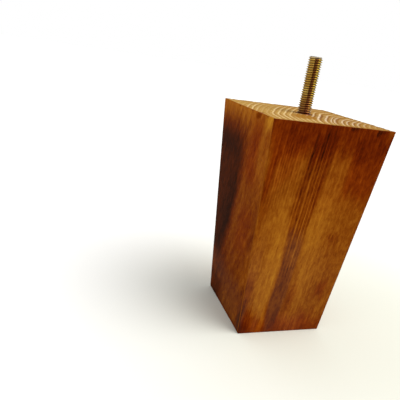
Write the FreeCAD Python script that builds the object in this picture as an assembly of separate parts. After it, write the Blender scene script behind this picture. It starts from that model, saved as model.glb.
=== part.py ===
import FreeCAD, Part
import math
import os

# A square furniture leg of solid pine, sawn to the same taper on all four sides, with a hanger bolt screwed into
# the middle of its top. The leg stands on its small end at Z = 0, and its flat sides face -X, +X, -Y and +Y.
# The bolt's metric stud points up. It is turned into the furniture until the top of the leg seats against it.
# All sizes are in millimetres, and both of the bolt's threads are drawn as plain walls at their major diameter.

# The wooden leg. The widths are taken where the flat sides would meet in sharp corners.
LEG_HEIGHT = 130.0
TOP_WIDTH = 72.0
FOOT_WIDTH = 55.0
ARRIS_RADIUS = 1.2

# The stud of the hanger bolt, with an M8 thread, which stands out of the leg.
STUD_DIAMETER = 8.0
STUD_LENGTH = 31.5
STUD_CHAMFER = 0.9

# The bare collar between the bolt's two threads, as wide as the blank that they are rolled from.
COLLAR_DIAMETER = 7.2
COLLAR_LENGTH = 5.0

# The wood screw at the bolt's lower end, which narrows to a gimlet point.
SCREW_DIAMETER = 8.0
SCREW_LENGTH = 36.0
SCREW_POINT_LENGTH = 9.0
SCREW_POINT_DIAMETER = 0.6

# The hole drilled for the bolt, and its countersunk mouth.
MOUTH_DIAMETER = 9.6
MOUTH_ANGLE = 90.0
COLLAR_CLEARANCE = 0.1
PILOT_DIAMETER = 5.8
PILOT_SPARE_DEPTH = 5.0
DRILL_POINT_ANGLE = 118.0

ORIGIN = FreeCAD.Vector(0, 0, 0)
X_AXIS = FreeCAD.Vector(1, 0, 0)
Z_AXIS = FreeCAD.Vector(0, 0, 1)


def cone_height(radius_change, full_angle):
    """How far a cone of a given full angle runs along its axis while its radius changes."""
    return radius_change / math.tan(math.radians(full_angle / 2))


def turned(outline):
    """A solid of revolution about Z from its (radius, height) corners."""
    points = [FreeCAD.Vector(radius, 0, height) for radius, height in outline]
    wire = Part.makePolygon(points + points[:1])
    return Part.Face(wire).revolve(ORIGIN, Z_AXIS, 360)


def tapered_blank():
    """The wood before drilling: sawn with four tapered sides, then eased along the arrises and round the foot."""
    top = TOP_WIDTH / 2
    foot = FOOT_WIDTH / 2
    sawn = Part.makeWedge(-foot, 0, -foot, -top, -top, foot, LEG_HEIGHT, foot, top, top)
    sawn.rotate(ORIGIN, X_AXIS, 90)
    eased_edges = [edge for edge in sawn.Edges if edge.BoundBox.ZMin < LEG_HEIGHT / 2]
    return sawn.makeFillet(ARRIS_RADIUS, eased_edges)


def hanger_bolt():
    """One piece of steel: the stud above the leg, and the collar and the wood screw inside it."""
    stud = STUD_DIAMETER / 2
    collar = COLLAR_DIAMETER / 2
    screw = SCREW_DIAMETER / 2
    stud_end = LEG_HEIGHT + STUD_LENGTH
    collar_bottom = LEG_HEIGHT - COLLAR_LENGTH
    screw_tip = collar_bottom - SCREW_LENGTH
    return turned([
        (0, stud_end),
        (stud - STUD_CHAMFER, stud_end),
        (stud, stud_end - STUD_CHAMFER),
        (stud, LEG_HEIGHT),
        (collar, LEG_HEIGHT - (stud - collar)),
        (collar, collar_bottom),
        (screw, collar_bottom - (screw - collar)),
        (screw, screw_tip + SCREW_POINT_LENGTH),
        (SCREW_POINT_DIAMETER / 2, screw_tip),
        (0, screw_tip),
    ])


def drilled_hole():
    """What the drills take away: a countersunk mouth, room for the collar, and a pilot for the screw."""
    mouth = MOUTH_DIAMETER / 2
    collar = COLLAR_DIAMETER / 2 + COLLAR_CLEARANCE
    pilot = PILOT_DIAMETER / 2
    collar_bottom = LEG_HEIGHT - COLLAR_LENGTH
    pilot_bottom = collar_bottom - SCREW_LENGTH - PILOT_SPARE_DEPTH
    return turned([
        (0, LEG_HEIGHT),
        (mouth, LEG_HEIGHT),
        (collar, LEG_HEIGHT - cone_height(mouth - collar, MOUTH_ANGLE)),
        (collar, collar_bottom),
        (pilot, collar_bottom),
        (pilot, pilot_bottom),
        (0, pilot_bottom - cone_height(pilot, DRILL_POINT_ANGLE)),
    ])


def leg_block(bolt):
    """The drilled leg, with the room that the bolt's screw has cut for itself in the wood."""
    return tapered_blank().cut(drilled_hole()).cut(bolt)


os.makedirs("parts", exist_ok=True)
bolt = hanger_bolt()
leg_block(bolt).exportStep("parts/leg_block.step")
bolt.exportStep("parts/hanger_bolt.step")
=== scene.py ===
import bmesh
import bpy
import math
import random
from mathutils import Matrix, Vector, noise


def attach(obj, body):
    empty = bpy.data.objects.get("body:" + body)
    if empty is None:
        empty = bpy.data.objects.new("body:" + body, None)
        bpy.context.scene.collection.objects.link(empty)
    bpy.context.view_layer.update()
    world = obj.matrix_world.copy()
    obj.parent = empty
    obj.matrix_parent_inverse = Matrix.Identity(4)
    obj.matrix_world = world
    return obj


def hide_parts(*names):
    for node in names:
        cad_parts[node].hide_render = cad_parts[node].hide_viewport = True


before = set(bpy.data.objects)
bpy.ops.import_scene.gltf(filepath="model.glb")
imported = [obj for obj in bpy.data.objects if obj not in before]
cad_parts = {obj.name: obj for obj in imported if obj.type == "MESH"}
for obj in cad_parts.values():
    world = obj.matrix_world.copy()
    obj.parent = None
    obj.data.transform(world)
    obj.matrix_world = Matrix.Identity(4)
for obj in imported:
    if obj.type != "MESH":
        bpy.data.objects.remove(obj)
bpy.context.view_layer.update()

# The leg: one square block of pine, sawn to the same taper on its four sides and drilled up the middle of its top.
# Its arrises and foot are eased with sandpaper, and the saw has torn a few fibres out along the top edge.
# The four sides and the foot are stained and lacquered; the end grain of the top is left bare.
MM = 0.001
LEG_HEIGHT = 130.0
TOP_HALF = 36.0
FOOT_HALF = 27.5
ARRIS_RADIUS = 0.6
ARRIS_WEAR = 0.25
BROKEN_EDGE = 0.28
TAPER = (TOP_HALF - FOOT_HALF) / LEG_HEIGHT

# The drilled hole from its mouth down, as (radius, height) steps.
HOLE = (
    (4.8, 130.0), (4.25, 129.45), (3.7, 128.9), (3.7, 124.9), (4.0, 124.6), (4.0, 98.0), (2.9, 95.3), (2.9, 84.0),
)
HOLE_BOTTOM = 82.3

# Tears along the top edge: where each one is, how wide it is and how deep.
TEARS = (
    ((-36, -18.0, 129.6), 2.6, 0.7),
    ((-36, -16.0, 128.4), 2.0, 0.5),
    ((9.6, -36, 129.8), 2.4, 0.4),
    ((26.6, -36, 129.4), 2.1, 0.4),
    ((25.6, -36, 127.6), 1.7, 0.35),
    ((-36, 9.0, 130), 1.4, 0.3),
)
# Small tears on each side, from the front round to the left: how many there are and how deep they go at most.
SMALL_TEARS = ((3, 0.24), (30, 0.5), (24, 0.5), (4, 0.5))
TEAR_ZONE = 6.0
FULLY_TORN = 0.35
# The mesh: points along a side and round an arris, and the rows of the top as shares of the way to the hole.
SIDE_STEPS = 150
ARRIS_STEPS = 7
TOP_ROWS = (0.008, 0.02, 0.045, 0.08, 0.13, 0.19, 0.26, 0.34, 0.43, 0.53, 0.64, 0.75, 0.86, 0.94, 1.0)


def outline(half, radii):
    """The leg's square outline at one level, anticlockwise from the front left, with its own radius at each corner."""
    points = []
    for side in range(4):
        turn = Matrix.Rotation(math.radians(90 * side), 2)
        start, end = radii[side], radii[(side + 1) % 4]
        for step in range(SIDE_STEPS):
            along = -half + start + (2 * half - start - end) * step / SIDE_STEPS
            points.append(turn @ Vector((along, -half)))
        for step in range(ARRIS_STEPS):
            angle = math.radians(90 * step / ARRIS_STEPS - 90)
            arc = Vector((math.cos(angle), math.sin(angle))) * end
            points.append(turn @ (Vector((half - end, end - half)) + arc))
    return points


def leg_levels():
    """Every level of the sides from the foot up, as (height, half width, how much of the arris radius is left)."""
    lean = math.atan(TAPER)
    middle = FOOT_HALF + TAPER * ARRIS_RADIUS - ARRIS_RADIUS / math.cos(lean)
    levels = []
    for step in range(7):
        angle = math.radians(-90) + (math.radians(90) - lean) * step / 6
        height = ARRIS_RADIUS + ARRIS_RADIUS * math.sin(angle)
        levels.append((height, middle + ARRIS_RADIUS * math.cos(angle), max(math.cos(angle), 0.04)))
    height = levels[-1][0]
    gap = 0.4
    while height < LEG_HEIGHT - BROKEN_EDGE - 0.2:
        room = LEG_HEIGHT - BROKEN_EDGE - height
        gap = min(gap * 1.22, 2.6, max(room * 0.16, 0.22))
        height = min(height + gap, LEG_HEIGHT - BROKEN_EDGE)
        levels.append((height, FOOT_HALF + TAPER * height, 1.0))
    for step in range(1, 4):
        angle = math.radians(90 * step / 3)
        inset = BROKEN_EDGE * (1 - math.cos(angle))
        height = LEG_HEIGHT - BROKEN_EDGE + BROKEN_EDGE * math.sin(angle)
        levels.append((height, FOOT_HALF + TAPER * height - inset, 1.0))
    return levels


def all_tears():
    """The tears that show plainly, and many small ones that the saw left along each side of the top."""
    dice = random.Random(11)
    tears = [(Vector(place), width, depth) for place, width, depth in TEARS]
    for side, (count, deepest) in enumerate(SMALL_TEARS):
        for _ in range(count):
            along = dice.uniform(-34.5, 34.5)
            place = Matrix.Rotation(math.radians(90 * side), 3, "Z") @ Vector((along, -TOP_HALF, LEG_HEIGHT))
            tears.append((place, dice.uniform(0.6, 1.5), dice.uniform(0.1, deepest)))
    return tears


def leg_mesh():
    """The whole leg as one closed skin: foot, sides, top and the hole. Returns the mesh and how torn each point is."""
    rings = []
    for height, half, left in leg_levels():
        radii = []
        for corner in range(4):
            wear = noise.noise(Vector((corner * 9.1, 3.7, height * 0.045))) * 0.6
            wear += noise.noise(Vector((corner * 5.3, 8.2, height * 0.35))) * 0.25
            radii.append((ARRIS_RADIUS + ARRIS_WEAR * max(wear, -0.4)) * left)
        rings.append([Vector((p.x, p.y, height)) for p in outline(half, radii)])
    rim = rings[-1]
    mouth = [Vector((p.x, p.y, 0)).normalized() * HOLE[0][0] for p in rim]
    for share in TOP_ROWS:
        row = [(p.x + (m.x - p.x) * share, p.y + (m.y - p.y) * share) for p, m in zip(rim, mouth)]
        rings.append([Vector((x, y, LEG_HEIGHT)) for x, y in row])
    top_rows = len(rings)
    for radius, height in HOLE[1:]:
        rings.append([Vector((m.x, m.y, 0)).normalized() * radius + Vector((0, 0, height)) for m in mouth])
    made = bmesh.new()
    torn = []
    tears = all_tears()
    rows = []
    for number, ring in enumerate(rings):
        row = []
        for point in ring:
            cut = 0.0
            if number < top_rows and point.z > LEG_HEIGHT - TEAR_ZONE:
                for place, width, depth in tears:
                    away = (point - place) / width
                    away.z *= 0.8
                    near = 1 - away.length
                    if near > 0:
                        rough = 0.75 + 0.5 * noise.noise(point * 1.9)
                        cut = max(cut, depth * min(near * 1.8, 1) * rough)
            torn.append(min(cut / FULLY_TORN, 1))
            inward = Vector((point.x, point.y, 0)).normalized() * 0.75 + Vector((0, 0, 0.66))
            row.append(made.verts.new((point - inward * cut) * MM))
        rows.append(row)
    count = len(rings[0])
    for lower, upper in zip(rows, rows[1:]):
        for i in range(count):
            j = (i + 1) % count
            made.faces.new((lower[i], lower[j], upper[j], upper[i]))
    made.faces.new(list(reversed(rows[0])))
    bottom = made.verts.new((0, 0, HOLE_BOTTOM * MM))
    torn.append(0)
    for i in range(count):
        made.faces.new((rows[-1][i], rows[-1][(i + 1) % count], bottom))
    first_top = len(leg_levels()) - 1
    made.faces.ensure_lookup_table()
    for number, face in enumerate(made.faces):
        row = number // count
        face.material_index = 1 if first_top <= row and number < (len(rows) - 1) * count else 0
        face.smooth = True
    mesh = bpy.data.meshes.new("pine_leg")
    made.to_mesh(mesh)
    made.free()
    mesh.set_sharp_from_angle(angle=math.radians(40))
    held = mesh.attributes.new("torn", "FLOAT", "POINT")
    held.data.foreach_set("value", torn)
    return mesh


def put(tree, kind, feeds=None, **settings):
    """Adds a node of a kind to a tree. Its inputs are fed by name or number, with an output or with a plain value."""
    made = tree.nodes.new("ShaderNode" + kind)
    for name, value in settings.items():
        setattr(made, name, value)
    for key, value in (feeds or {}).items():
        if isinstance(value, bpy.types.NodeSocket):
            tree.links.new(value, made.inputs[key])
        else:
            made.inputs[key].default_value = value
    return made


def calc(tree, operation, *values):
    """One step of arithmetic on numbers. Returns the output."""
    return put(tree, "Math", dict(enumerate(values)), operation=operation).outputs[0]


def vector_calc(tree, operation, *values):
    """One step of arithmetic on vectors. Returns the output."""
    return put(tree, "VectorMath", dict(enumerate(values)), operation=operation).outputs[0]


def length_of(tree, vector):
    """The length of a vector."""
    return put(tree, "VectorMath", {0: vector}, operation="LENGTH").outputs["Value"]


def dot(tree, first, second):
    """How far two vectors point the same way."""
    return put(tree, "VectorMath", {0: first, 1: second}, operation="DOT_PRODUCT").outputs["Value"]


def add_up(tree, total, *parts):
    """Adds parts to a total, each as (value, how much of it)."""
    for value, share in parts:
        total = calc(tree, "MULTIPLY_ADD", value, share, total)
    return total


def fade(tree, value, start, end, low=0.0, high=1.0):
    """A smooth step from low to high while a value goes from start to end."""
    feeds = {"Value": value, "From Min": start, "From Max": end, "To Min": low, "To Max": high}
    return put(tree, "MapRange", feeds, interpolation_type="SMOOTHSTEP").outputs[0]


def grain_noise(tree, place, scale, detail=2.0, roughness=0.5, feeds=None):
    """Smooth noise about zero, from -0.5 to 0.5."""
    inputs = {"Vector": place, "Scale": scale, "Detail": detail, "Roughness": roughness}
    made = put(tree, "TexNoise", {**inputs, **(feeds or {})}, noise_dimensions="3D")
    return calc(tree, "SUBTRACT", made.outputs["Fac"], 0.5)


def blend(tree, share, first, second, mode="MIX"):
    """Two colours mixed by a share."""
    made = put(tree, "Mix", data_type="RGBA", blend_type=mode)
    for number, value in ((0, share), (6, first), (7, second)):
        if isinstance(value, bpy.types.NodeSocket):
            tree.links.new(value, made.inputs[number])
        else:
            made.inputs[number].default_value = value
    return made.outputs[2]


def new_group(name, inputs, outputs):
    """An empty shader group with named inputs and outputs. Returns it with its two end nodes."""
    group = bpy.data.node_groups.new(name, "ShaderNodeTree")
    kinds = {"number": "NodeSocketFloat", "vector": "NodeSocketVector", "colour": "NodeSocketColor"}
    for sort, names in (("INPUT", inputs), ("OUTPUT", outputs)):
        for label, kind in names.items():
            group.interface.new_socket(name=label, in_out=sort, socket_type=kinds[kind])
    return group, group.nodes.new("NodeGroupInput"), group.nodes.new("NodeGroupOutput")


def use(tree, group, feeds):
    """One use of a group in a tree."""
    made = tree.nodes.new("ShaderNodeGroup")
    made.node_tree = group
    for name, value in feeds.items():
        if isinstance(value, bpy.types.NodeSocket):
            tree.links.new(value, made.inputs[name])
        else:
            made.inputs[name].default_value = value
    return made.outputs


# The tree stood to the right of the block and a little in front: its pith is at this place in plan, in millimetres,
# and its rings lean to the left on their way down. These are the radii of the hard line that ends each year.
PITH = (162.4, -91.9)
RING_LEAN = 0.05
SIDE_LEAN = 0.24
SIDE_SHIFT = -40.0
RING_RADII = (
    137.5, 140.4, 143.0, 146.2, 149.4, 152.6, 155.7, 159.3, 162.1, 165.4, 167.9, 172.7, 174.3, 177.5, 181.9, 185.4,
    188.6, 192.0, 194.6, 197.2, 200.5, 203.5, 206.5, 209.6, 212.4, 215.2, 217.9, 220.9, 224.2, 227.6, 231.0, 234.6,
    238.0, 241.4,
)
# How strongly the years show, by radius: they grow faint where the summers were short.
RING_STRENGTH = (
    (137.5, 0.25), (146.0, 0.35), (152.0, 0.5), (158.0, 0.85), (169.0, 1.0), (176.0, 0.75), (182.0, 1.0), (188.0, 0.85),
    (192.0, 0.6), (197.2, 1.0), (206.5, 1.0), (208.5, 0.25), (213.0, 0.3), (215.2, 0.5), (217.9, 1.0), (220.9, 1.0),
    (223.0, 0.35), (241.4, 0.25),
)


def curve_through(curve, spots):
    """Bends a float curve through straight runs between spots, from its first to its last."""
    line = curve.mapping.curves[0]
    for number, spot in enumerate(spots):
        ends = {0: line.points[0], len(spots) - 1: line.points[-1]}
        point = ends[number] if number in ends else line.points.new(*spot)
        point.location = spot
        point.handle_type = "VECTOR"
    curve.mapping.update()


def fibre_place_group():
    """Where a point is along its own fibre, in millimetres: the lean of the tree is taken out of it."""
    group, start, end = new_group(
        "fibre_place", {"Lean": "number", "Side Lean": "number"},
        {"Place": "vector", "Fibre Place": "vector", "Cloud Place": "vector"})
    place = put(group, "TexCoord").outputs["Object"]
    scaled = vector_calc(group, "MULTIPLY", place, (1000, 1000, 1000))
    parts = put(group, "SeparateXYZ", {0: scaled}).outputs
    depth = calc(group, "SUBTRACT", LEG_HEIGHT, parts[2])
    across = calc(group, "MULTIPLY_ADD", depth, start.outputs["Lean"], parts[0])
    side = fade(group, calc(group, "SUBTRACT", parts[1], parts[0]), 0.0, 1.5)
    back = calc(group, "MULTIPLY", calc(group, "MULTIPLY", depth, start.outputs["Side Lean"]), side)
    fibre = put(group, "CombineXYZ", {0: across, 1: calc(group, "SUBTRACT", parts[1], back), 2: parts[2]}).outputs[0]
    group.links.new(scaled, end.inputs["Place"])
    group.links.new(fibre, end.inputs["Fibre Place"])
    apart = put(group, "CombineXYZ", {0: calc(group, "MULTIPLY", side, SIDE_SHIFT)}).outputs[0]
    group.links.new(vector_calc(group, "ADD", fibre, apart), end.inputs["Cloud Place"])
    return group


def growth_rings_group():
    """The year rings round the pith: how near a hard line is, where a point is in its year, and the year's own tone."""
    group, start, end = new_group(
        "growth_rings", {"Fibre Place": "vector", "Wander": "number"},
        {"Line": "number", "Fine Line": "number", "Year": "number", "Tone": "number"})
    place = start.outputs["Fibre Place"]
    slow = vector_calc(group, "MULTIPLY", place, (1, 1, 0.12))
    wide = grain_noise(group, slow, 0.035, 1.0)
    fine = grain_noise(group, slow, 0.35, 2.0)
    wander = calc(group, "MULTIPLY_ADD", fine, 0.22, wide)
    wander = calc(group, "MULTIPLY", wander, start.outputs["Wander"])
    flat = vector_calc(group, "MULTIPLY", place, (1, 1, 0))
    away = vector_calc(group, "SUBTRACT", flat, (PITH[0], PITH[1], 0))
    radius = calc(group, "ADD", length_of(group, away), wander)
    low, high = RING_RADII[0], RING_RADII[-1]
    share = calc(group, "DIVIDE", calc(group, "SUBTRACT", radius, low), high - low)
    years = len(RING_RADII) - 1
    curve = put(group, "FloatCurve", {"Value": share})
    curve_through(curve, [((ring - low) / (high - low), number / years) for number, ring in enumerate(RING_RADII)])
    strength = put(group, "FloatCurve", {"Value": share})
    curve_through(strength, [((ring - low) / (high - low), value) for ring, value in RING_STRENGTH])
    count = calc(group, "MULTIPLY", curve.outputs[0], years)
    near = calc(group, "PINGPONG", count, 0.5)
    group.links.new(fade(group, near, 0.24, 0.06), end.inputs["Line"])
    halved = calc(group, "PINGPONG", calc(group, "MULTIPLY_ADD", count, 2.0, 0.3), 0.5)
    group.links.new(fade(group, halved, 0.36, 0.14), end.inputs["Fine Line"])
    group.links.new(calc(group, "FRACT", count), end.inputs["Year"])
    year = calc(group, "ROUND", count)
    chance = put(group, "TexWhiteNoise", {"W": calc(group, "ADD", year, 0.37)}, noise_dimensions="1D").outputs["Value"]
    tone = calc(group, "MULTIPLY", calc(group, "MULTIPLY_ADD", chance, 0.35, 0.65), strength.outputs[0])
    group.links.new(tone, end.inputs["Tone"])
    return group


def long_fibres_group():
    """Streaks and short resin pores that run along the fibres."""
    group, start, end = new_group(
        "long_fibres", {"Fibre Place": "vector"},
        {"Broad": "number", "Streaks": "number", "Hairs": "number", "Pores": "number"})
    place = start.outputs["Fibre Place"]
    broad = vector_calc(group, "MULTIPLY", place, (1, 1, 0.032))
    group.links.new(grain_noise(group, broad, 0.22, 2.0, 0.5), end.inputs["Broad"])
    streaks = vector_calc(group, "MULTIPLY", place, (1, 1, 0.06))
    group.links.new(grain_noise(group, streaks, 0.75, 3.0, 0.6), end.inputs["Streaks"])
    hairs = vector_calc(group, "MULTIPLY", place, (1, 1, 0.07))
    group.links.new(grain_noise(group, hairs, 3.0, 2.0, 0.6), end.inputs["Hairs"])
    dashes = vector_calc(group, "MULTIPLY", place, (1, 1, 0.12))
    pores = grain_noise(group, dashes, 1.3, 1.0, 0.5)
    group.links.new(fade(group, pores, 0.15, 0.26), end.inputs["Pores"])
    return group


def stain_and_shade_cloud_group():
    """One cloud that changes the wood's tone, both for stain that took more or less and for painted shade: its change
    joins the sum by how near a point is to its middle.
    """
    group, start, end = new_group(
        "stain_and_shade_cloud",
        {"Place": "vector", "Middle": "vector", "Reach": "vector", "Edge": "number", "Change": "vector",
         "Sum": "vector"},
        {"Sum": "vector"})
    away = vector_calc(group, "SUBTRACT", start.outputs["Place"], start.outputs["Middle"])
    away = vector_calc(group, "DIVIDE", away, start.outputs["Reach"])
    squared = vector_calc(group, "MULTIPLY", away, away)
    share = fade(group, calc(group, "POWER", dot(group, squared, squared), 0.25), 1.0, start.outputs["Edge"])
    change = put(group, "VectorMath", {0: start.outputs["Change"], 3: share}, operation="SCALE").outputs[0]
    group.links.new(vector_calc(group, "ADD", change, start.outputs["Sum"]), end.inputs["Sum"])
    return group


FIBRE_PLACE = fibre_place_group()
GROWTH_RINGS = growth_rings_group()
LONG_FIBRES = long_fibres_group()
STAIN_AND_SHADE_CLOUD = stain_and_shade_cloud_group()

# Where the stain took unevenly, and where shade is painted on the left side, in places along the fibres: the middle of
# each cloud, how far it reaches, how soon it is at its full strength (1 is a hard edge), and how much it lightens,
# reddens and dulls the wood there.
FRONT_CLOUDS = (
    ((0, -30, 16), (60, 12, 70), 0.3, (0.01, 0.1, 0.45)),
    ((16, -34, 96), (26, 12, 26), 0.3, (0.0, 0.3, 0.0)),
    ((26, -36, 128), (18, 12, 12), 0.3, (0.07, 0.0, 0.0)),
    ((34.5, -36, 130), (4.5, 12, 9), 0.3, (0.18, -0.9, 0.0)),
    ((0, -36, 136), (90, 12, 32), 0.35, (-0.24, 0.9, 0.0)),
    ((-32, -36, 120), (9, 12, 18), 0.3, (0.08, 0.0, 0.0)),
    ((-8, -32, 58), (34, 14, 48), 0.3, (0.10, 0.0, 0.0)),
    ((-30.5, -34, 104), (2.8, 12, 20), 0.3, (-0.13, 0.4, 0.0)),
    ((-31, -33, 89), (2.2, 12, 9), 0.3, (-0.12, 0.2, 0.0)),
    ((-24, -35, 108), (14, 12, 20), 0.3, (-0.05, 0.5, 0.0)),
    ((24, -35, 108), (12, 12, 24), 0.4, (-0.12, 0.7, 0.0)),
    ((35, -35, 110), (7, 12, 34), 0.3, (-0.08, 0.5, 0.0)),
    ((-4.5, -34, 96), (8, 12, 36), 0.7, (-0.13, 0.3, 0.0)),
    ((-2.1, -30, 34), (5.7, 12, 40), 0.6, (-0.25, 0.0, 0.6)),
    ((-1.5, -30, 38), (5.0, 12, 12), 0.3, (-0.07, 0.0, 0.3)),
    ((-7.5, -31, 62), (2.5, 12, 16), 0.3, (-0.14, 0.0, 0.3)),
    ((-8.0, -28, 6), (2.2, 12, 16), 0.3, (0.14, 0.0, -0.3)),
    ((9, -32, 76), (8, 12, 30), 0.3, (0.14, 0.0, 0.0)),
    ((-22, -34, 106), (14, 12, 16), 0.3, (0.07, 0.0, 0.0)),
    ((-6, -35, 126), (6, 12, 10), 0.3, (0.07, 0.0, 0.0)),
    ((22, -35, 127), (8, 12, 8), 0.3, (-0.05, 0.0, 0.0)),
    ((18, -30, 46), (9, 12, 16), 0.3, (0.05, 0.0, 0.0)),
    ((10, -28, 6), (14, 12, 9), 0.3, (0.06, 0.0, 0.2)),
    ((-17, -28, 8), (5, 12, 12), 0.3, (-0.06, 0.0, -0.4)),
    ((-7, -28, 4), (5, 12, 10), 0.3, (0.05, 0.0, -0.4)),
    ((10, -30, 30), (5, 12, 36), 0.3, (0.12, 0.0, 0.0)),
    ((6.5, -30, 26), (4, 12, 15), 0.3, (-0.14, 0.3, 0.0)),
    ((-12.5, -31, 38), (6, 12, 42), 0.5, (0.14, 0.0, 0.0)),
    ((-28, -32, 84), (4, 12, 14), 0.3, (-0.10, 0.3, 0.0)),
    ((-18, -34, 76), (7, 12, 14), 0.3, (0.08, 0.0, 0.0)),
    ((4, -27, -4), (60, 12, 24), 0.2, (-0.08, 0.9, 0.0)),
    ((-22, -27, 0), (8, 12, 16), 0.3, (-0.14, 0.3, 0.0)),
    ((-23, -29, 26), (5, 12, 20), 0.3, (-0.12, 0.2, 0.0)),
    ((-23, -28, 8), (3, 12, 20), 0.3, (-0.28, 0.0, 0.3)),
    ((20, -32, 64), (6, 12, 5), 0.3, (-0.06, 0.3, 0.0)),
    ((25, -30, 30), (5, 12, 8), 0.3, (-0.10, 0.5, 0.0)),
)
# The clouds of the left side and of the back lie apart from those of the front, by the side's shift.
LEFT_CLOUDS = (
    # Painted shade: this cloud darkens the back half of the left side over most of its height.
    ((-71, 13, 73), (10, 32, 57), 0.62, (-0.45, 0.0, 0.1)),
    ((-74, 12, 108), (11, 32, 14), 0.2, (-0.05, 0.0, 0.0)),
    ((-64, -4, 27), (11, 24, 18), 0.2, (-0.17, 0.0, 0.2)),
    ((-75, 0, 138), (11, 80, 20), 0.3, (0.25, 0.35, -0.5)),
    ((-70, -16, 78), (11, 12, 44), 0.3, (0.05, -0.1, -0.3)),
    ((-73, -28, 108), (11, 24, 26), 0.3, (-0.09, 0.8, 0.0)),
    ((-73, -28.5, 115), (11, 5, 23), 0.3, (0.15, -0.4, 0.0)),
    ((-73.5, -36, 108), (11, 9, 23), 0.3, (0.16, -0.5, 0.0)),
    ((-76, -33, 133), (11, 7, 14), 0.3, (0.26, -0.6, -0.2)),
    ((-66, -47, 42), (11, 6, 20), 0.3, (0.12, 0.0, 0.0)),
    ((-68, -32, 62), (11, 14, 24), 0.3, (0.05, 0.4, -0.4)),
    # Painted shade: this broad cloud darkens the middle and front of the left side.
    ((-67, -32, 50), (11, 42, 60), 0.3, (-0.16, 0.15, 0.0)),
    ((-63, -20, 14), (11, 60, 24), 0.3, (-0.07, -0.2, 0.6)),
    ((-62, -10, 7), (11, 18, 12), 0.3, (-0.25, 0.0, -0.3)),
    ((-62, -56, 10), (11, 6, 18), 0.3, (-0.28, 0.0, 0.3)),
    ((-61, 0, -1), (11, 90, 6), 0.3, (-0.15, 0.2, 0.2)),
)
RIGHT_CLOUDS = (
    ((36, 6, 138), (12, 38, 30), 0.3, (-0.20, 0.7, 0.0)),
    ((36, 18, 74), (12, 14, 40), 0.4, (-0.17, 0.2, 0.3)),
    ((36, -8, 58), (12, 12, 50), 0.3, (0.12, 0.0, 0.0)),
    ((36, 1, 104), (12, 5, 34), 0.4, (-0.14, 0.4, 0.0)),
    ((36, 8, 24), (12, 32, 50), 0.3, (0.0, 0.1, 0.4)),
    ((36, 6, -4), (12, 30, 24), 0.3, (-0.14, 0.8, 0.0)),
)
BACK_CLOUDS = (
    ((-34, 14, 138), (36, 50, 24), 0.3, (0.12, 0.0, -0.2)),
    ((-24, 10, 66), (7, 50, 84), 0.5, (-0.20, 0.2, 0.4)),
    ((-52, 14, 96), (11, 50, 36), 0.3, (-0.14, 0.5, 0.0)),
    ((-40, 10, 56), (8, 50, 54), 0.3, (0.13, 0.0, 0.0)),
    ((-12, 10, 100), (9, 50, 44), 0.3, (-0.14, 0.6, 0.0)),
    ((-34, 4, 20), (26, 50, 44), 0.3, (0.0, 0.1, 0.4)),
    ((-34, 0, -4), (26, 50, 24), 0.3, (-0.14, 0.8, 0.0)),
)
CLOUDS = FRONT_CLOUDS + LEFT_CLOUDS + RIGHT_CLOUDS + BACK_CLOUDS
# The parts of the sides where the year lines show most, as clouds with their strength as the last number.
PLAIN_LINES = (
    ((-4, -34, 94), (9, 12, 34), 0.6, 0.55),
    ((-22, -34, 104), (14, 12, 26), 0.3, 0.25),
    ((-2.5, -31, 56), (6, 12, 28), 0.4, 0.32),
    ((36, 8, 88), (12, 24, 54), 0.3, 0.45),
    ((-30, 12, 80), (26, 50, 60), 0.3, 0.45),
)


# The stained wood's colours from its darkest tone to its lightest, and what red stain and a grey haze do to them.
UNCLOUDED_TONE = 0.53
STAIN_COLOURS = (
    (0.0, (0.024, 0.0060, 0.0018, 1)), (0.25, (0.118, 0.0190, 0.0012, 1)), (0.5, (0.215, 0.0510, 0.0024, 1)),
    (0.75, (0.330, 0.1060, 0.0072, 1)), (1.0, (0.460, 0.1850, 0.0125, 1)),
)
RED_STAIN = (0.92, 0.58, 0.45, 1)
GREY_HAZE = (0.002, 0.0105, 0.0090, 1)


def cloud_sum(tree, place, clouds):
    """The sum of all clouds at a place, as a vector."""
    total = (0.0, 0.0, 0.0)
    for middle, reach, edge, change in clouds:
        feeds = {"Place": place, "Middle": middle, "Reach": reach, "Edge": edge, "Change": change, "Sum": total}
        total = use(tree, STAIN_AND_SHADE_CLOUD, feeds)["Sum"]
    return total


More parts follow.
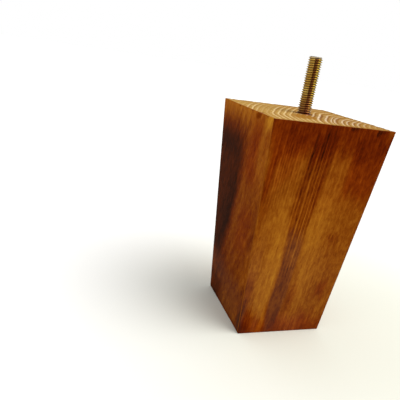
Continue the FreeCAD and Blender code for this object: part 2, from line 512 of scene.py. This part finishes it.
def lacquered_pine():
    """Stained and lacquered pine. Stain clouds, painted shade on the left side, year lines, fibres and pores set its
    tone, which picks its colour.
    """
    material = bpy.data.materials.new("lacquered_pine")
    material.use_nodes = True
    tree = material.node_tree
    shader = tree.nodes["Principled BSDF"]
    places = use(tree, FIBRE_PLACE, {"Lean": RING_LEAN, "Side Lean": SIDE_LEAN})
    fibre = places["Fibre Place"]
    rings = use(tree, GROWTH_RINGS, {"Fibre Place": fibre, "Wander": 2.2})
    fibres = use(tree, LONG_FIBRES, {"Fibre Place": fibre})
    slow = vector_calc(tree, "MULTIPLY", fibre, (1, 1, 0.35))
    drift = put(tree, "TexNoise", {"Vector": slow, "Scale": 0.11, "Detail": 3.0, "Roughness": 0.55})
    drift = vector_calc(tree, "SUBTRACT", drift.outputs["Color"], (0.5, 0.5, 0.5))
    drift = vector_calc(tree, "MULTIPLY", drift, (2.5, 7, 16))
    fingers = put(tree, "CombineXYZ", {2: calc(tree, "MULTIPLY", fibres["Streaks"], 20)}).outputs[0]
    on_left = fade(tree, put(tree, "SeparateXYZ", {0: places["Cloud Place"]}).outputs[0], -50.0, -60.0)
    calm = put(tree, "CombineXYZ", {0: 1, 1: 1, 2: calc(tree, "MULTIPLY_ADD", on_left, -0.72, 1.0)}).outputs[0]
    drift = vector_calc(tree, "MULTIPLY", vector_calc(tree, "ADD", drift, fingers), calm)
    clouded = vector_calc(tree, "ADD", places["Cloud Place"], drift)
    lightness, redness, dullness = put(tree, "SeparateXYZ", {0: cloud_sum(tree, clouded, CLOUDS)}).outputs
    plain = [(middle, reach, edge, (strength, 0, 0)) for middle, reach, edge, strength in PLAIN_LINES]
    lined = put(tree, "SeparateXYZ", {0: cloud_sum(tree, clouded, plain)}).outputs[0]
    line_strength = calc(tree, "MULTIPLY_ADD", lined, 0.45, 0.10)
    line = calc(tree, "MULTIPLY", calc(tree, "SUBTRACT", rings["Line"], 0.35), rings["Tone"])
    mottle = grain_noise(tree, vector_calc(tree, "MULTIPLY", fibre, (1, 1, 0.55)), 0.30, 3.0, 0.6)
    specks = grain_noise(tree, vector_calc(tree, "MULTIPLY", fibre, (1, 1, 0.4)), 0.85, 2.0, 0.6)
    fine_lines = calc(tree, "MULTIPLY", calc(tree, "SUBTRACT", rings["Fine Line"], 0.5), lined)
    figure = add_up(
        tree, calc(tree, "MULTIPLY", fine_lines, -0.30),
        (calc(tree, "MULTIPLY", line, line_strength), 0.55),
        (calc(tree, "SUBTRACT", 0.5, rings["Year"]), 0.07),
        (fibres["Broad"], calc(tree, "MULTIPLY_ADD", lined, 0.4, 0.16)),
        (fibres["Streaks"], calc(tree, "MULTIPLY_ADD", lined, 0.35, 0.22)),
        (fibres["Hairs"], 0.26),
        (mottle, 0.44),
        (specks, 0.40),
        (fibres["Pores"], -0.13),
    )
    # The wood's figure shows less where the stain, with the painted shade, makes it nearly black.
    ground = calc(tree, "ADD", lightness, UNCLOUDED_TONE)
    torn = put(tree, "Attribute", attribute_name="torn").outputs["Fac"]
    tone = add_up(tree, ground, (figure, fade(tree, ground, 0.02, 0.36, 0.35, 1.0)), (torn, -0.28))
    ramp = put(tree, "ValToRGB", {"Fac": tone})
    stops = ramp.color_ramp.elements
    for number, (spot, colour) in enumerate(STAIN_COLOURS):
        stop = stops[0] if number == 0 else stops[-1] if number == len(STAIN_COLOURS) - 1 else stops.new(spot)
        stop.position = spot
        stop.color = colour
    reddened = blend(tree, 1.0, ramp.outputs[0], RED_STAIN, "MULTIPLY")
    colour = blend(tree, fade(tree, redness, 0.0, 1.0), ramp.outputs[0], reddened)
    hazed = blend(tree, 1.0, colour, GREY_HAZE, "ADD")
    colour = blend(tree, fade(tree, dullness, 0.0, 1.0), colour, hazed)
    tree.links.new(colour, shader.inputs["Base Color"])
    shader.inputs["Specular IOR Level"].default_value = 0.002
    rough = calc(tree, "MULTIPLY_ADD", fibres["Hairs"], 0.18, 0.40)
    rough = calc(tree, "MULTIPLY_ADD", torn, 0.3, rough)
    tree.links.new(rough, shader.inputs["Roughness"])
    height = calc(tree, "MULTIPLY", rings["Line"], 0.35)
    height = add_up(tree, height, (fibres["Hairs"], 0.5), (fibres["Streaks"], 0.8), (fibres["Pores"], -0.6))
    bump = put(tree, "Bump", {"Height": height, "Strength": 0.6, "Distance": 0.00006})
    tree.links.new(bump.outputs[0], shader.inputs["Normal"])
    return material


# The colours of the bare end grain, and of what the saw, the stain and the oil of the bolt have left on it.
TAN = (0.37, 0.190, 0.040, 1)
PALE_TAN = (0.48, 0.295, 0.075, 1)
RIGHT_TAN = (0.34, 0.170, 0.034, 1)
HARD_WOOD = (0.19, 0.060, 0.014, 1)
LINE_CREAM = (0.78, 0.58, 0.28, 1)
LINE_WHITE = (0.84, 0.68, 0.46, 1)
FAR_EDGE_BROWN = (0.20, 0.105, 0.034, 1)
FUZZ_BROWN = (0.20, 0.085, 0.026, 1)
STAINED_RIM = (0.12, 0.028, 0.005, 1)
OILY_TAN = (0.33, 0.143, 0.018, 1)
SOAKED_MOUTH = (0.19, 0.026, 0.010, 1)
HOLE_WALL = (0.30, 0.045, 0.020, 1)
# Where the rings are streaked, and where the oily patch is, with the two ways in plan that it is measured. Each is
# as long as one over half the patch's size that way.
STREAKED_MIDDLE = (12, -14, 0)
OIL_MIDDLE = (-8, -14, 0)
OIL_ALONG = (-0.055, -0.064, 0)
OIL_ACROSS = (0.096, -0.082, 0)


def bare_end_grain():
    """Sawn end grain with no finish: pale year lines on tan, a soft fuzz from the saw, and stain at the very edge."""
    material = bpy.data.materials.new("bare_end_grain")
    material.use_nodes = True
    tree = material.node_tree
    shader = tree.nodes["Principled BSDF"]
    places = use(tree, FIBRE_PLACE, {"Lean": RING_LEAN})
    place = places["Fibre Place"]
    frayed = put(tree, "TexNoise", {"Vector": place, "Scale": 0.8, "Detail": 2.0, "Roughness": 0.6}).outputs["Color"]
    frayed = vector_calc(tree, "MULTIPLY", vector_calc(tree, "SUBTRACT", frayed, (0.5, 0.5, 0.5)), (0.6, 0.6, 0))
    x, y, z = put(tree, "SeparateXYZ", {0: places["Place"]}).outputs
    # The rings bend toward the pith behind the bolt, at the front left and at the back right.
    bend = calc(tree, "MULTIPLY", fade(tree, y, -36.0, 0.0, 0.0, 4.5), fade(tree, x, -36.0, 8.0, 0.6, 1.0))
    hook = calc(tree, "MULTIPLY", fade(tree, y, -36.0, -12.0, 4.4, 0.0), fade(tree, x, 14.0, -30.0))
    corner = calc(tree, "MULTIPLY", fade(tree, x, 14.0, 34.0, 0.0, 4.5), fade(tree, y, -36.0, 10.0))
    bend = calc(tree, "ADD", calc(tree, "ADD", bend, hook), corner)
    away = {0: calc(tree, "MULTIPLY", bend, -0.88), 1: calc(tree, "MULTIPLY", bend, 0.48)}
    bent = put(tree, "CombineXYZ", away).outputs[0]
    ring_place = vector_calc(tree, "ADD", vector_calc(tree, "ADD", place, frayed), bent)
    rings = use(tree, GROWTH_RINGS, {"Fibre Place": ring_place, "Wander": 1.0})
    fuzz = grain_noise(tree, place, 2.4, 3.0, 0.65)
    patches = grain_noise(tree, place, 0.09, 2.0)
    flat = vector_calc(tree, "MULTIPLY", places["Place"], (1, 1, 0))
    tan = blend(tree, calc(tree, "ADD", patches, 0.5), TAN, PALE_TAN)
    tan = blend(tree, fade(tree, x, -18.0, 12.0, 0.0, 0.75), tan, RIGHT_TAN)
    shade = calc(tree, "MULTIPLY", fade(tree, rings["Year"], 0.35, 0.78), fade(tree, rings["Year"], 0.98, 0.84))
    from_streaks = length_of(tree, vector_calc(tree, "SUBTRACT", flat, STREAKED_MIDDLE))
    streaked = fade(tree, from_streaks, 24.0, 10.0)
    shade = calc(tree, "MULTIPLY", shade, calc(tree, "MULTIPLY_ADD", streaked, 0.5, 0.45))
    tan = blend(tree, calc(tree, "MULTIPLY", shade, rings["Tone"]), tan, HARD_WOOD)
    clear = calc(tree, "MULTIPLY", fade(tree, y, -35.5, -30.0), fade(tree, y, 32.0, 10.0, 0.4, 1.0))
    line = calc(tree, "MULTIPLY", calc(tree, "MULTIPLY", rings["Line"], rings["Tone"]), clear)
    broken = grain_noise(tree, place, 0.34, 2.0, 0.7)
    line = calc(tree, "MULTIPLY", line, fade(tree, broken, -0.14, 0.04, 0.45, 1.0))
    second = calc(tree, "MULTIPLY", rings["Fine Line"], fade(tree, broken, 0.08, -0.10, 0.0, 0.22))
    line = calc(tree, "MAXIMUM", line, calc(tree, "MULTIPLY", second, clear))
    line = calc(tree, "MULTIPLY", line, fade(tree, x, 4.0, 22.0, 1.0, 0.72))
    colour = blend(tree, line, tan, blend(tree, streaked, LINE_CREAM, LINE_WHITE))
    far_edge = calc(tree, "MULTIPLY_ADD", patches, 2.0, calc(tree, "MAXIMUM", x, y))
    colour = blend(tree, fade(tree, far_edge, 31.5, 35.0, 0.0, 0.75), colour, FAR_EDGE_BROWN)
    colour = blend(tree, calc(tree, "MULTIPLY", calc(tree, "ABSOLUTE", fuzz), 0.9), colour, FUZZ_BROWN)
    torn = put(tree, "Attribute", attribute_name="torn").outputs["Fac"]
    span = calc(tree, "MAXIMUM", calc(tree, "ABSOLUTE", x), calc(tree, "ABSOLUTE", y))
    edge = fade(tree, calc(tree, "MULTIPLY_ADD", fuzz, 0.9, span), 35.35, 35.9)
    stained = calc(tree, "MAXIMUM", edge, calc(tree, "MULTIPLY", torn, 0.8))
    colour = blend(tree, stained, colour, STAINED_RIM)
    from_oil = vector_calc(tree, "SUBTRACT", flat, OIL_MIDDLE)
    measured = {0: dot(tree, from_oil, OIL_ALONG), 1: dot(tree, from_oil, OIL_ACROSS)}
    from_oil = put(tree, "CombineXYZ", measured).outputs[0]
    oily = fade(tree, calc(tree, "MULTIPLY_ADD", patches, 0.5, length_of(tree, from_oil)), 1.15, 0.55, 0.0, 0.9)
    colour = blend(tree, oily, colour, OILY_TAN)
    soaked = fade(tree, calc(tree, "MULTIPLY_ADD", fuzz, 0.8, length_of(tree, flat)), 5.5, 4.9, 0.0, 0.9)
    colour = blend(tree, soaked, colour, SOAKED_MOUTH)
    colour = blend(tree, fade(tree, z, 129.95, 129.4), colour, HOLE_WALL)
    tree.links.new(colour, shader.inputs["Base Color"])
    shader.inputs["Specular IOR Level"].default_value = 0.002
    shader.inputs["Roughness"].default_value = 0.8
    height = calc(tree, "MULTIPLY_ADD", rings["Line"], 0.8, fuzz)
    bump = put(tree, "Bump", {"Height": height, "Strength": 0.8, "Distance": 0.00012})
    tree.links.new(bump.outputs[0], shader.inputs["Normal"])
    return material


leg = bpy.data.objects.new("pine_leg", leg_mesh())
bpy.context.scene.collection.objects.link(leg)
leg.data.materials.append(lacquered_pine())
leg.data.materials.append(bare_end_grain())
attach(leg, "root")
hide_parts("leg_block")

# The hanger bolt: one piece of steel with a rolled M8 stud above, a bare collar in the mouth of the hole, and a
# coarse wood screw with a gimlet point below. It is plated with zinc and passivated yellow, and screwed into the leg.
BOLT_SIDES = 72
STUD_RADIUS = 4.0
STUD_ROOT = 3.16
STUD_PITCH = 1.25
STUD_END = 161.5
STUD_END_RADIUS = 3.1
COLLAR_RADIUS = 3.6
COLLAR_TOP = 129.6
COLLAR_BOTTOM = 125.0
SCREW_RADIUS = 3.95
SCREW_CORE = 2.8
SCREW_PITCH = 3.2
SCREW_TAPER_TOP = 98.0
SCREW_TIP = 89.0
SCREW_TIP_RADIUS = 0.28
# One turn of each thread from root to root, as (share of the pitch, share of the thread's height).
STUD_TURN = ((0.0, 0.0), (0.09, 0.02), (0.27, 0.47), (0.43, 0.98), (0.5, 1.0), (0.57, 0.98), (0.73, 0.47), (0.91, 0.02))
SCREW_TURN = (
    (0.0, 0.0), (0.2, 0.0), (0.36, 0.04), (0.45, 0.45), (0.49, 0.97), (0.52, 1.0), (0.55, 0.9), (0.66, 0.2),
    (0.78, 0.0),
)
# The colours of its yellow zinc and of the light and shade painted on it, and which way its olive side and its painted
# dark strips face.
GOLD = (0.53, 0.32, 0.052, 1)
PALE_GOLD = (0.69, 0.49, 0.118, 1)
OLIVE = (0.36, 0.250, 0.029, 1)
BROWN_SPECK = (0.38, 0.15, 0.030, 1)
PAINTED_DARK_REFLECTION = (0.105, 0.026, 0.006, 1)
LOW_BROWN = (0.26, 0.085, 0.032, 1)
PAINTED_FOOT_SHADOW_AND_REFLECTION = (0.12, 0.012, 0.008, 1)
PAINTED_TIP_HIGHLIGHT = (0.86, 0.82, 0.62, 1)
PAINTED_EDGE_SHADE = (0.24, 0.18, 0.060, 1)
PAINTED_ROOT_SHADE = (0.10, 0.038, 0.010, 1)
OLIVE_WAY = (0.454, -0.891, 0)
DARK_REFLECTION_WAY = (-0.309, -0.951, 0)
SHADED_EDGE_WAY = (-0.943, 0.334, 0)


def stud_radius(height, share):
    """The stud's radius: its thread, cut back by the chamfer at its end, and filled up to the collar at its foot."""
    radius = STUD_ROOT + (STUD_RADIUS - STUD_ROOT) * share
    radius = min(radius, STUD_END_RADIUS + (STUD_END - height))
    filled = COLLAR_RADIUS - max(height - COLLAR_TOP, 0) * 0.35
    radius = max(radius, filled) if height < COLLAR_TOP + 1.2 else radius
    return min(radius, COLLAR_RADIUS + max(height - COLLAR_TOP, 0))


def screw_radius(height, share):
    """The wood screw's radius: a thin thread on a core, both narrowing to the point, with a cone up to the collar."""
    narrow = min(1.0, max(0.0, (height - SCREW_TIP) / (SCREW_TAPER_TOP - SCREW_TIP)))
    limit = SCREW_TIP_RADIUS + (SCREW_RADIUS - SCREW_TIP_RADIUS) * narrow
    core = SCREW_TIP_RADIUS + (SCREW_CORE - SCREW_TIP_RADIUS) * narrow
    start = min(1.0, max(0.0, (COLLAR_BOTTOM - height) / 4))
    radius = core + (limit - core) * share * start
    return max(radius, COLLAR_RADIUS - max(COLLAR_BOTTOM - height, 0))


def threaded_wall(made, low, high, pitch, turn, radius_at):
    """A threaded length of the bolt. Each row of points follows the helix, and stops at the two ends."""
    turns = math.ceil((high - low) / pitch) + 1
    rows = []
    for number in range((turns + 1) * len(turn)):
        share, rise = turn[number % len(turn)]
        base = low - pitch + (number // len(turn) + share) * pitch
        row = []
        for side in range(BOLT_SIDES):
            angle = math.tau * side / BOLT_SIDES
            height = min(max(base + pitch * side / BOLT_SIDES, low), high)
            radius = radius_at(height, rise)
            row.append(made.verts.new(Vector((radius * math.cos(angle), radius * math.sin(angle), height)) * MM))
        rows.append(row)
    step = len(turn)
    for number, (row, above) in enumerate(zip(rows, rows[1:])):
        for side in range(BOLT_SIDES):
            if side < BOLT_SIDES - 1:
                made.faces.new((row[side], row[side + 1], above[side + 1], above[side]))
            elif number + 1 + step < len(rows):
                made.faces.new((row[side], rows[number + step][0], rows[number + 1 + step][0], above[side]))
    return rows


def bolt_mesh():
    """The whole bolt as one closed skin."""
    made = bmesh.new()
    stud = threaded_wall(made, COLLAR_TOP, STUD_END, STUD_PITCH, STUD_TURN, stud_radius)
    screw = threaded_wall(made, SCREW_TIP, COLLAR_BOTTOM, SCREW_PITCH, SCREW_TURN, screw_radius)
    for side in range(BOLT_SIDES):
        other = (side + 1) % BOLT_SIDES
        made.faces.new((screw[-1][side], screw[-1][other], stud[0][other], stud[0][side]))
    made.faces.new(stud[-1])
    made.faces.new(list(reversed(screw[0])))
    bmesh.ops.remove_doubles(made, verts=made.verts, dist=0.000002)
    bmesh.ops.dissolve_degenerate(made, edges=made.edges, dist=0.000001)
    bmesh.ops.recalc_face_normals(made, faces=made.faces)
    for face in made.faces:
        face.smooth = True
    mesh = bpy.data.meshes.new("hanger_bolt_steel")
    made.to_mesh(mesh)
    made.free()
    mesh.set_sharp_from_angle(angle=math.radians(50))
    return mesh


def yellow_zinc():
    """Zinc passivated yellow: gold that drifts to olive and brown, with painted shade in the roots of the thread and
    along its left edge, a painted dark reflection down the side that faces the camera, painted shadow and reflection of
    the wood at its foot, and a painted highlight at its tip.
    """
    material = bpy.data.materials.new("yellow_zinc")
    material.use_nodes = True
    tree = material.node_tree
    shader = tree.nodes["Principled BSDF"]
    places = use(tree, FIBRE_PLACE, {"Lean": 0.0})
    place = places["Place"]
    flat = vector_calc(tree, "MULTIPLY", place, (1, 1, 0))
    outward = vector_calc(tree, "NORMALIZE", flat)
    height = put(tree, "SeparateXYZ", {0: place}).outputs[2]
    drift = grain_noise(tree, place, 0.22, 2.0)
    specks = grain_noise(tree, place, 2.2, 2.0, 0.6)
    colour = blend(tree, fade(tree, drift, -0.14, 0.14), GOLD, PALE_GOLD)
    colour = blend(tree, fade(tree, dot(tree, outward, OLIVE_WAY), 0.62, 0.90), colour, OLIVE)
    colour = blend(tree, fade(tree, specks, 0.03, 0.20, 0.0, 0.6), colour, BROWN_SPECK)
    # Painted reflection: a dark streak down the side of the stud that faces the dark room on the camera's side.
    run = calc(tree, "MULTIPLY_ADD", drift, 0.05, dot(tree, outward, DARK_REFLECTION_WAY))
    colour = blend(tree, fade(tree, run, 0.940, 0.982, 0.0, 0.95), colour, PAINTED_DARK_REFLECTION)
    low = fade(tree, calc(tree, "MULTIPLY_ADD", drift, 12.0, height), 142.0, 131.0, 0.0, 0.7)
    colour = blend(tree, low, colour, LOW_BROWN)
    # Painted shadow and reflection of the wood: the foot of the stud, next to the leg, is darkened.
    colour = blend(tree, fade(tree, height, 131.8, 130.5, 0.0, 0.85), colour, PAINTED_FOOT_SHADOW_AND_REFLECTION)
    # Painted highlight: the chamfer at the tip is made pale.
    colour = blend(tree, fade(tree, height, 160.5, 161.1, 0.0, 0.8), colour, PAINTED_TIP_HIGHLIGHT)
    # Painted shade: the stud's left edge, as the camera sees it, is darkened.
    colour = blend(tree, fade(tree, dot(tree, outward, SHADED_EDGE_WAY), 0.70, 0.97, 0.0, 0.55), colour, PAINTED_EDGE_SHADE)
    # Painted shade: the roots of the thread are darkened.
    root = fade(tree, length_of(tree, flat), 3.85, 3.3)
    colour = blend(tree, calc(tree, "MULTIPLY", root, 0.7), colour, PAINTED_ROOT_SHADE)
    tree.links.new(colour, shader.inputs["Base Color"])
    shader.inputs["Metallic"].default_value = 1.0
    rough = calc(tree, "MULTIPLY_ADD", specks, 0.25, 0.34)
    rough = calc(tree, "MULTIPLY_ADD", root, 0.2, rough)
    tree.links.new(rough, shader.inputs["Roughness"])
    surface = put(tree, "NewGeometry").outputs["Normal"]
    soft = put(tree, "Mix", data_type="VECTOR")
    soft.inputs[0].default_value = 0.5
    tree.links.new(surface, soft.inputs[4])
    tree.links.new(outward, soft.inputs[5])
    rounded = vector_calc(tree, "NORMALIZE", soft.outputs[1])
    bump = put(tree, "Bump", {"Height": specks, "Strength": 0.4, "Distance": 0.00003, "Normal": rounded})
    tree.links.new(bump.outputs[0], shader.inputs["Normal"])
    return material


bolt = bpy.data.objects.new("hanger_bolt_steel", bolt_mesh())
bpy.context.scene.collection.objects.link(bolt)
bolt.data.materials.append(yellow_zinc())
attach(bolt, "root")
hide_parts("hanger_bolt")

# The setting: a pale floor, with painted shade and warm bounce light round the leg, under soft studio light from above,
# behind and to the right, with a dark room on the camera's side, so that the front of the leg keeps its deep colour.
FLOOR_HALF = 6.0
FLOOR_MIDDLE = (0.05, -0.02, 0)
FLOOR_WHITE = (0.90, 0.90, 0.89, 1)
FLOOR_SHADE_AND_BOUNCE = (0.785, 0.795, 0.705, 1)
KEY_FROM = (0.50, -0.42, 1.0)
DARK_WAY = (0.03, -1.0, 0)


def floor_mesh():
    """A flat floor in a few squares, all at the height of the foot."""
    made = bmesh.new()
    bmesh.ops.create_grid(made, x_segments=12, y_segments=12, size=FLOOR_HALF)
    mesh = bpy.data.meshes.new("pale_floor")
    made.to_mesh(mesh)
    made.free()
    return mesh


def pale_floor():
    """A matt white floor, darker and warmer round the leg with painted shade and warm bounce light."""
    material = bpy.data.materials.new("pale_floor")
    material.use_nodes = True
    tree = material.node_tree
    shader = tree.nodes["Principled BSDF"]
    place = vector_calc(tree, "MULTIPLY", put(tree, "TexCoord").outputs["Object"], (1, 1, 0))
    far = length_of(tree, vector_calc(tree, "SUBTRACT", place, FLOOR_MIDDLE))
    # Painted shade and warm bounce light: the floor is darker and warmer round the leg.
    colour = blend(tree, fade(tree, far, 0.22, 0.04), FLOOR_WHITE, FLOOR_SHADE_AND_BOUNCE)
    tree.links.new(colour, shader.inputs["Base Color"])
    shader.inputs["Roughness"].default_value = 0.9
    shader.inputs["Specular IOR Level"].default_value = 0.1
    return material


floor = bpy.data.objects.new("pale_floor", floor_mesh())
bpy.context.scene.collection.objects.link(floor)
floor.data.materials.append(pale_floor())

key = bpy.data.lights.new("soft_key", "SUN")
key.energy = 2.2
key.angle = math.radians(50)
key.color = (1.0, 0.985, 0.96)
key_lamp = bpy.data.objects.new("soft_key", key)
key_lamp.rotation_euler = Vector(KEY_FROM).to_track_quat("Z", "Y").to_euler()
bpy.context.scene.collection.objects.link(key_lamp)

room = bpy.data.worlds.new("studio_room")
bpy.context.scene.world = room
room.use_nodes = True
tree = room.node_tree
back = tree.nodes["Background"]
way = put(tree, "TexCoord").outputs["Generated"]
level = vector_calc(tree, "NORMALIZE", vector_calc(tree, "MULTIPLY", way, (1, 1, 0)))
toward = dot(tree, level, DARK_WAY)
height = put(tree, "SeparateXYZ", {0: way}).outputs[2]
dark = calc(tree, "MULTIPLY", fade(tree, toward, 0.80, 0.94), fade(tree, height, 0.92, 0.70))
light = fade(tree, dark, 0.0, 1.0, 0.80, 0.06)
seen = put(tree, "LightPath").outputs["Is Camera Ray"]
tree.links.new(blend(tree, seen, light, (1, 1, 1, 1)), back.inputs["Color"])

scene = bpy.context.scene
scene.view_settings.view_transform = "Standard"
scene.view_settings.look = "None"

# The camera stands low in front of the leg and to its left, turned a little on its own axis.
CAMERA_PLACE = (-0.13205, -0.22219, 0.15406)
CAMERA_HEADING = 19.227
CAMERA_DIP = 18.749
CAMERA_ROLL = 8.850
CAMERA_LENS = 38.512
eye = bpy.data.cameras.new("camera")
eye.lens = CAMERA_LENS
eye.sensor_width = 36.0
eye.clip_start = 0.01
camera = bpy.data.objects.new("camera", eye)
camera.matrix_world = (
    Matrix.Translation(CAMERA_PLACE)
    @ Matrix.Rotation(math.radians(-CAMERA_HEADING), 4, "Z")
    @ Matrix.Rotation(math.radians(90 - CAMERA_DIP), 4, "X")
    @ Matrix.Rotation(math.radians(CAMERA_ROLL), 4, "Z")
)
scene.collection.objects.link(camera)
scene.camera = camera

bpy.context.view_layer.update()
